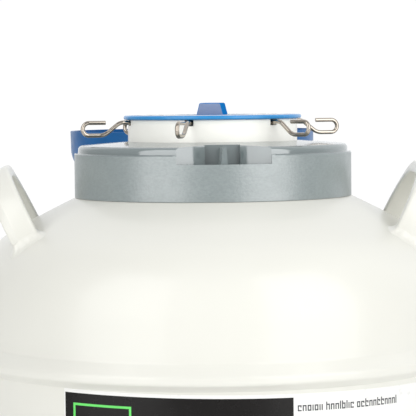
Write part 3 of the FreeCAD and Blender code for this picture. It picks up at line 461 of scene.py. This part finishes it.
def build_neck_ring():
    ring = turned("ring_moulding", [(62.5, 652), (65, 652), (65, 649), (73.7, 649), (73.7, 652),
                                    (RING_R, 652), (RING_R, RING_TOP, 0.8), (62.5, RING_TOP, 0.8)],
                  steps=288)
    for k in range(6):
        cut = prism("notch", [(-4, -82), (4, -82), (4, -58), (-4, -58)], NOTCH_FLOOR, 682)
        combine(ring, spin(cut, RING_TURN + 60 * k), "DIFFERENCE")
    for angle in SCREW_ANGLES:
        x, y = polar(SCREW_CIRCLE, angle)
        combine(ring, prism("sunk", disc_outline(x, y, 3.8), SCREW_SEAT, 682), "DIFFERENCE")
    soften(ring, 0.35, 2, 40, 32)
    finish_piece(ring, "flask", "ring_plastic", RING_WHITE, "neck_ring")
    for number, angle in enumerate(SCREW_ANGLES, 1):
        x, y = polar(SCREW_CIRCLE, angle)
        head = SCREW_SEAT + 3.2
        screw = turned("screw", [(0, 644), (2, 644), (2, SCREW_SEAT), (3.6, SCREW_SEAT), (3.6, head, 0.9),
                                 (0, head)], steps=32)
        socket = prism("socket", circle(1.7, 6), SCREW_SEAT + 1.4, 676)
        combine(screw, socket, "DIFFERENCE")
        screw.data.transform(Matrix.Translation((x * MM, y * MM, 0)))
        smooth_by_angle(screw, 35)
        screw.name = f"ring_screw_{number}"
        finish_piece(screw, "flask", "fasteners", SCREW_STEEL)
        if number == 1:
            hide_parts("neck_ring_screws")


# ---- hood -----------------------------------------------------------------------------------


def build_hood():
    """Drawn closed over the collar, then swung back half a turn about the pin."""
    outside = [(127.4, 645.6, 0.6), (126.4, 691, 28), (60, 694.2), (58, 693.7, 1), (50, 694.1, 1),
               (48, 694.7), (0, 695)]
    inside = [(0, 693), (124.4, 689, 26), (125.4, 645.6, 0.6)]
    hood = turned("hood_shell", outside + inside, steps=240, step=6)
    tab = []
    for radius in (125.4, 127.4):
        arc = [polar(radius, -18 + 3 * k) for k in range(13)]
        tab += arc if radius > 126 else arc[::-1]
    combine(hood, prism("tab", tab, 638.3, 647), "UNION")
    low, high = HINGE_Z - 4.1, HINGE_Z + 4.1
    tongue = rounded([(126.2, low), (135.7, low, 3.6), (135.7, high, 3.6), (126.2, high)])
    combine(hood, across(tongue, -13, 13), "UNION")
    combine(hood, across(disc_outline(HINGE_Y, HINGE_Z, 2.08), -15, 15), "DIFFERENCE")
    soften(hood, 0.4, 2, 40, 32)
    pivot = Matrix.Translation((0, HINGE_Y * MM, HINGE_Z * MM))
    hood.data.transform(pivot @ Matrix.Rotation(math.radians(-180), 4, "X") @ pivot.inverted())
    spin(hood, COLLAR_TURN)
    finish_piece(hood, "hood_flap", "hood_plastic", HOOD_BLUE, "hood")


# ---- lid ------------------------------------------------------------------------------------

GRIP_TURN = -4.0
LID_LOW, LID_TOP = 675.4, 679


def build_lid():
    groove = LID_TOP - 0.6
    disc = turned("lid_moulding", [(0, LID_LOW), (81.5, LID_LOW, 1.4), (81.5, LID_TOP, 1.6),
                                   (76.5, LID_TOP, 0.4), (75.8, groove, 0.4), (74.2, groove, 0.4),
                                   (73.5, LID_TOP, 0.4), (0, LID_TOP)], steps=240, step=12)
    finish_piece(disc, "lid_assembly", "lid_plastic", LID_BLUE, "lid_disc")
    outline = rounded([(-12.2, LID_TOP), (12.2, LID_TOP), (9.4, 690, 1.4), (-9.4, 690, 1.4)], step=15)
    bar = prism("grip_bar", outline, -32, 32)
    bar.data.transform(Matrix.Rotation(math.radians(90), 4, "X"))
    soften(bar, 0.5, 2, 50, 40)
    spin(bar, GRIP_TURN)
    finish_piece(bar, "lid_assembly", "lid_plastic", GRIP_BLUE, "lid_grip")
    # the faces towards the front and the back take the painted sheen
    bar.data.materials.append(GRIP_END_PAINTED_SHEEN)
    for face in bar.data.polygons:
        if abs(face.normal.y) > 0.95:
            face.material_index = 1
    # two shallow grooves run round the plug
    plug = turned("foam_plug", [(0, 552), (50, 552, 5),
                                (51.6, 592), (50.8, 593), (50.8, 596), (51.8, 597),
                                (53.0, 632), (52.2, 633), (52.2, 636), (53.2, 637),
                                (54.5, LID_LOW), (0, LID_LOW)], steps=160)
    finish_piece(plug, "lid_assembly", "plug_foam", FOAM, "lid_plug")
    for number, y in enumerate((-20, 20), 1):
        screw = turned("screw", [(0, LID_LOW), (2, LID_LOW), (2, 685), (0, 685)], steps=32)
        screw.data.transform(Matrix.Translation((0, y * MM, 0)))
        spin(screw, GRIP_TURN)
        screw.name = f"grip_screw_{number}"
        finish_piece(screw, "lid_assembly", "fasteners", SCREW_STEEL)
        if number == 1:
            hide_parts("grip_screws")
    badge = ring_badge()
    finish_piece(badge, "lid_assembly", "label_sheet", None, "lid_label")


def ring_badge():
    """A ring label whose print is plain blocks: two dark bands broken into word-like lengths."""
    rings = [36, 38, 40, 46, 50, 56, 60, 66, 68, 70]
    printed, lined = (3, 5), (0, 8)
    order = random.Random(5)
    steps = 360
    words = {}
    for band in (1, 3, 5, 7):
        pattern, k = [], 0
        while k < steps:
            length = order.randint(4, 13)
            pattern += [1] * length + [0] * order.randint(2, 3)
            k = len(pattern)
        words[band] = pattern[:steps]
    points, faces, marks = [], [], []
    for i in range(steps):
        for radius in rings:
            points.append((*polar(radius, i * 360 / steps), LID_TOP + 0.25))
    n = len(rings)
    for i in range(steps):
        for j in range(n - 1):
            k = (i + 1) % steps
            faces.append((i * n + j, k * n + j, k * n + j + 1, i * n + j + 1))
            quiet = 40 < (i % 90) < 50
            marks.append(1 if j in printed and words[j][i] and not quiet else 2 if j in lined else 0)
    base = len(points)
    points += [(x, y, LID_TOP) for x, y, z in points]
    top = len(faces)
    for i in range(steps):
        k = (i + 1) % steps
        for j in (0, n - 1):
            faces.append((i * n + j, k * n + j, base + k * n + j, base + i * n + j))
    badge = mesh_piece("lid_badge", points, faces)
    for material in (LABEL_WHITE, INK_GREY, INK_BLUE):
        badge.data.materials.append(material)
    for face, mark in zip(badge.data.polygons, marks + [0] * (len(faces) - top)):
        face.material_index = mark
    return badge


# ---- canister handles -----------------------------------------------------------------------

CANISTER_ANGLES = (-76.0, -14.6, 44.2, 105.8, 164.4, 224.2)


def build_hooks():
    """Wires from the canisters up the neck, out through a notch, down and back into a hook."""
    notch, foot, back = NOTCH_FLOOR + 2.6, 661.5, 673
    line = rounded([(58, 124), (58, notch, 5), (RING_R, notch, 4), (86, 673.6, 10), (101, foot, 13),
                    (121, foot, 5.8), (121, back, 5.8), (100, back)], closed=False, step=5)
    path = [(0, -p.x, p.y) for p in line]
    for number, angle in enumerate(CANISTER_ANGLES, 1):
        wire = swept(f"hook_wire_{number}", path, circle(1.9, 20))
        soften(wire, 0.25, 1, 60, 60)
        spin(wire, angle)
        finish_piece(wire, f"hanging_canister_{number}", "handle_wire", WIRE_STEEL,
                     f"canister_handle_{number}")


# ---- carrying handles -----------------------------------------------------------------------

HANDLE_X, HANDLE_FORWARD, HANDLE_Z = 173.2, 12.8, 578.6
HANDLE_LEAN, HANDLE_TURN, HANDLE_TOE = 26.0, 1.9, 1.9
HANDLE_HALF, HANDLE_RISE, HANDLE_BEND = 81, 51.5, 58


def handle_place(sign):
    return (Matrix.Rotation(math.radians(HANDLE_TURN), 4, "Z")
            @ Matrix.Translation((sign * HANDLE_X, -HANDLE_FORWARD, HANDLE_Z))
            @ Matrix.Rotation(math.radians(-sign * HANDLE_TOE), 4, "Z")
            @ Matrix.Rotation(math.radians(sign * HANDLE_LEAN), 4, "Y"))


def bar_section(half_width, half_depth, near, far, sign):
    """Rounded bar: one corner radius towards the flask, a broad facet on the outer side."""
    cut = [(-half_width, -half_depth, near), (half_width - far, -half_depth, 2.0),
           (half_width, -half_depth + far * 0.42, 2.0), (half_width, half_depth - far * 0.42, 2.0),
           (half_width - far, half_depth, 2.0), (-half_width, half_depth, near)]
    points = [tuple(p) for p in rounded(cut, step=15)]
    return [(-x, y) for x, y in points[::-1]] if sign > 0 else points


def shell_level(place, x, y):
    """How far down a handle's own upright the shoulder lies below its point (x, y)."""
    low, high = -45.0, 30.0
    for _ in range(30):
        mid = (low + high) / 2
        at = place @ Vector((x, y, mid))
        if at.z > shell_height(math.hypot(at.x, at.y)):
            high = mid
        else:
            low = mid
    return (low + high) / 2


def build_handle(side, sign):
    """The bent bar, running on a little into the shoulder."""
    half, rise = HANDLE_HALF, HANDLE_RISE
    line = rounded([(-half, -19), (-half, rise, HANDLE_BEND), (half, rise, HANDLE_BEND), (half, -19)],
                   closed=False, step=4)
    section = bar_section(12.5, 6, 3.0, 7.0, sign)
    bar = swept(f"handle_bar_{side}", [(0, p.x, p.y) for p in line], section, smooth=38)
    bar.data.transform(Matrix.Scale(MM, 4) @ handle_place(sign) @ Matrix.Scale(1 / MM, 4))
    smooth_by_angle(bar, 38)
    return bar


def build_foot(side, sign, end):
    """A hand-laid weld: a lumpy fillet from the leg down to the shoulder, with its ripples."""
    place = handle_place(sign)
    outline = rounded([(-12.5, -6, 3), (12.5, -6, 4), (12.5, 6, 4), (-12.5, 6, 3)], step=10)
    fine = []
    for k, p in enumerate(outline):
        q = outline[(k + 1) % len(outline)]
        parts = max(1, round((q - p).length / 0.9))
        fine += [p.lerp(q, j / parts) for j in range(parts)]
    seed = Vector((17.3 * end, 5.1 * sign, 0))
    rows = 15
    points, faces = [], []
    for p in fine:
        out = Vector((p.x * 0.6, p.y * 1.5)).normalized()
        phase = 0.75 * (p.x - p.y)
        reach = 6.4 + 1.6 * noise.noise(Vector((p.x, p.y, 0)) / 7 + seed)
        height = 6.8 + 1.3 * noise.noise(Vector((p.x, p.y, 9)) / 6 + seed)
        for row in range(rows):
            t = row / (rows - 1)
            # a fillet that bulges a little, sunk into the leg above and into the shoulder below
            away = reach * (1 - math.cos(t * math.pi / 2)) ** 0.86 - (0.5 if row == 0 else 0)
            up = height * (1 - math.sin(t * math.pi / 2)) ** 0.9
            body = math.sin(t * math.pi)
            lump = 0.3 * body * (math.sin(phase + 2.2 * t) + 0.8 * noise.noise(
                Vector((p.x * 0.35, p.y * 0.35, t * 3)) + seed))
            x, y = p.x + out.x * (away + lump), end * HANDLE_HALF + p.y + out.y * (away + lump)
            drop = 1.6 if row == rows - 1 else 0
            points.append(place @ Vector((x, y, shell_level(place, x, y) + up + 0.5 * lump - drop)))
    n = len(fine)
    for i in range(n):
        k = (i + 1) % n
        for row in range(rows - 1):
            faces.append((i * rows + row, k * rows + row, k * rows + row + 1, i * rows + row + 1))
    top = [i * rows for i in range(n)]
    low = [i * rows + rows - 1 for i in range(n)]
    faces += [tuple(top), tuple(low)]
    return mesh_piece(f"weld_{side}_{'front' if end < 0 else 'back'}", points, faces, 75)


def build_handles():
    for side, sign in (("left", -1), ("right", 1)):
        bar = build_handle(side, sign)
        finish_piece(bar, "flask", "shell_paint", PAINT, f"carry_handle_{side}")
        for end in (-1, 1):
            finish_piece(build_foot(side, sign, end), "flask", "shell_paint", PAINT)


# ---- drum label -----------------------------------------------------------------------------


WHITE, BLACK, GREEN, GREY, PALE = range(5)


def greeked(order, start, top, wide, tall, words):
    """Stand-ins for a line of print: strokes, frames and arches in groups, no real letters.

    Each mark is (left, right, low, high, ink), in degrees round the drum and millimetres up it.
    """
    marks = []
    stroke = wide * 0.27
    for count in words:
        for _ in range(count):
            kind = order.random()
            rise = tall if order.random() < 0.3 else tall * 0.74
            low, high = top - tall, top - tall + rise
            width = stroke if kind < 0.2 else wide * 0.85
            marks.append((start, start + width, low, high, GREY))
            if kind >= 0.2:
                # hollow it out: a frame, an arch open below, or one open to the right
                thick, inner = tall * 0.16, start + stroke
                floor = low if kind > 0.65 else low + thick
                marks.append((inner, start + width - stroke, floor, low + tall * 0.74 - thick, WHITE))
                if kind < 0.5:
                    marks.append((inner, start + width, low + thick, low + tall * 0.45, WHITE))
                if rise == tall:
                    marks.append((inner, start + width, low + tall * 0.74, high, WHITE))
            start += width + wide * 0.22
        start += wide * 0.55
    return marks


def build_drum_label():
    """A curved sheet whose print is cut into its own grid: a dark panel, a green frame, bars."""
    left, right, low, high = -34.3, 52.0, 296.0, 454.6
    boxes = [(-34.0, 16.7, 304.5, 451.6, BLACK),
             (-31.9, -18.0, 389.5, 443.3, GREEN), (-31.35, -18.5, 391.5, 441.3, BLACK)]
    lines = random.Random(11)
    boxes += greeked(lines, 17.6, 446.8, 1.04, 6.8, (7, 8, 11))
    for top in (430.5, 421.0, 413.5, 406.0, 398.5):
        boxes += greeked(lines, 17.6, top, 0.62, 4.0, [lines.randint(4, 9) for k in range(5)])
    for k in range(5):
        boxes.append((-29.9 + k * 2.1, -28.7 + k * 2.1, 397, 404 + 6.5 * k, GREEN))
    for k, width in enumerate((17, 22.1, 12.75)):
        boxes.append((-14.0, -14.0 + width, 428 - 13 * k, 434 - 13 * k, PALE))
    edges = {left, right, *[b[0] for b in boxes], *[b[1] for b in boxes],
             *[left + k for k in range(int(right - left))]}
    across_marks = sorted({round(angle, 2) for angle in edges})
    up_marks = sorted({low, high, *[b[2] for b in boxes], *[b[3] for b in boxes]})
    points, faces, marks = [], [], []
    for radius in (DRUM_R + 0.25, DRUM_R):
        for angle in across_marks:
            # stuck on a little askew: its right end hangs lower
            sag = 0.05 * (angle - left)
            points += [(*polar(radius, angle), max(z - sag, low)) for z in up_marks]
    n, m = len(up_marks), len(across_marks)
    for i in range(m - 1):
        for j in range(n - 1):
            faces.append((i * n + j, (i + 1) * n + j, (i + 1) * n + j + 1, i * n + j + 1))
            u = (across_marks[i] + across_marks[i + 1]) / 2
            v = (up_marks[j] + up_marks[j + 1]) / 2
            # the last box that covers a cell gives its ink
            inks = [ink for x0, x1, z0, z1, ink in boxes if x0 < u < x1 and z0 < v < z1]
            marks.append(inks[-1] if inks else WHITE)
    base = m * n
    rim = ([(0, j, 0, j + 1) for j in range(n - 1)] + [(m - 1, j, m - 1, j + 1) for j in range(n - 1)]
           + [(i, 0, i + 1, 0) for i in range(m - 1)] + [(i, n - 1, i + 1, n - 1) for i in range(m - 1)])
    for i, j, k, p in rim:
        faces.append((i * n + j, k * n + p, base + k * n + p, base + i * n + j))
    sheet = mesh_piece("drum_label_sheet", points, faces)
    for material in (LABEL_WHITE, INK_BLACK, INK_GREEN, INK_GREY, INK_PALE):
        sheet.data.materials.append(material)
    for face, mark in zip(sheet.data.polygons, marks + [WHITE] * len(rim)):
        face.material_index = mark
    finish_piece(sheet, "flask", "label_sheet", None, "drum_label")


# ---- CAD pieces that stay -------------------------------------------------------------------


def dress(material, *nodes):
    """Give CAD nodes a material; their shapes stay as they are."""
    for node in nodes:
        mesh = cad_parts[node].data
        mesh.materials.clear()
        mesh.materials.append(material)


def dress_frame():
    """The inner pieces keep their CAD shapes."""
    dress(SHEET_STEEL, *[f"canister_{k}" for k in range(1, 7)])
    dress(BARE_ALUMINIUM, "inner_vessel", "neck_flange", "canister_spacer", "adsorbent_tray",
          "evacuation_tube")
    dress(GLASS_FIBRE, "neck_tube")
    dress(FOIL, "insulation_blanket")
    dress(DARK_PLASTIC, "evacuation_cap")


# ---- floor, light and camera ----------------------------------------------------------------


SOFTBOX_HEIGHT, SOFTBOX_AWAY, SOFTBOX_Z = 3.0, 2.0, 1.7
# name, watts, width and angle of each, in metres and degrees from the front
SOFTBOXES = (("left", 29, 1.5, -41.5), ("right", 36.5, 1.55, 44.0))
# the room's brightness in front and behind
ROOM = (0.47, 1.1)
BACKDROP = 1.02


def softbox(name, watts, size, place, target):
    """A softbox: a rectangular area light of size (width, height) in metres."""
    lamp = bpy.data.lights.new(name, "AREA")
    lamp.shape = "RECTANGLE"
    lamp.size, lamp.size_y = size
    lamp.energy = watts
    made = bpy.data.objects.new(name, lamp)
    bpy.context.scene.collection.objects.link(made)
    made.location = place
    made.rotation_euler = (Vector(target) - Vector(place)).to_track_quat("-Z", "Y").to_euler()


def build_stage():
    """A pale floor, the room and the two softboxes."""
    floor = turned("floor", [(0, -1), (5000, -1), (5000, 0), (0, 0)], steps=96)
    look = Look("pale_floor", (0.92, 0.92, 0.91), 0.6)
    look.color(look.ramp(look.noise(600, 3), (0.91, 0.91, 0.90), (0.93, 0.93, 0.92)))
    look.bump(look.noise(2.5, 3), 0.02)
    floor.data.materials.append(look.material)

    build_world()
    bpy.context.scene.view_settings.view_transform = "Standard"
    for side, watts, width, angle in SOFTBOXES:
        place = (*polar(SOFTBOX_AWAY, angle), SOFTBOX_Z)
        softbox(f"softbox_{side}", watts, (width, SOFTBOX_HEIGHT), place, (0, 0, SOFTBOX_Z))


def build_world():
    """A white cyclorama behind, seen as plain white, and a dimmer room in front and above."""
    world = bpy.data.worlds.new("studio")
    world.use_nodes = True
    nodes, links = world.node_tree.nodes, world.node_tree.links
    backdrop = nodes["Background"]
    backdrop.inputs["Color"].default_value = (1, 1, 1, 1)
    backdrop.inputs["Strength"].default_value = BACKDROP
    # brighter towards the back, and a little towards the top and the right
    where = nodes.new("ShaderNodeVectorMath")
    where.operation = "DOT_PRODUCT"
    where.inputs[1].default_value = (0.3, 1.0, 0.55)
    links.new(nodes.new("ShaderNodeTexCoord").outputs["Generated"], where.inputs[0])
    behind = nodes.new("ShaderNodeMapRange")
    behind.interpolation_type = "SMOOTHSTEP"
    for socket, value in zip(("From Min", "From Max", "To Min", "To Max"), (0.32, 0.92, *ROOM)):
        behind.inputs[socket].default_value = value
    links.new(where.outputs["Value"], behind.inputs["Value"])
    room = nodes.new("ShaderNodeBackground")
    room.inputs["Color"].default_value = (0.97, 0.98, 1.0, 1)
    links.new(behind.outputs["Result"], room.inputs["Strength"])
    path = nodes.new("ShaderNodeLightPath")
    mixer = nodes.new("ShaderNodeMixShader")
    links.new(path.outputs["Is Camera Ray"], mixer.inputs["Fac"])
    links.new(room.outputs["Background"], mixer.inputs[1])
    links.new(backdrop.outputs["Background"], mixer.inputs[2])
    links.new(mixer.outputs["Shader"], nodes["World Output"].inputs["Surface"])
    bpy.context.scene.world = world


def build_camera():
    """Level with the neck and 1.84 m in front of the flask's axis, dipped and rolled a little."""
    image_width, focal_length = 416, 2000
    lens = bpy.data.cameras.new("camera")
    lens.sensor_width = 36
    lens.lens = lens.sensor_width * focal_length / image_width
    lens.clip_start, lens.clip_end = 0.05, 50
    camera = bpy.data.objects.new("camera", lens)
    bpy.context.scene.collection.objects.link(camera)
    dip, yaw, roll = math.radians(3.18), math.radians(0.152), math.radians(-0.59)
    camera.location = (0, -1.84, 0.6955)
    camera.matrix_world = (
        Matrix.Translation(camera.location)
        @ Matrix.Rotation(yaw, 4, "Z")
        @ Matrix.Rotation(math.radians(90) - dip, 4, "X")
        @ Matrix.Rotation(roll, 4, "Z")
    )
    bpy.context.scene.camera = camera


build_shell()
build_collar()
build_neck_ring()
build_hood()
build_lid()
build_hooks()
build_handles()
build_drum_label()
dress_frame()
build_stage()
build_camera()
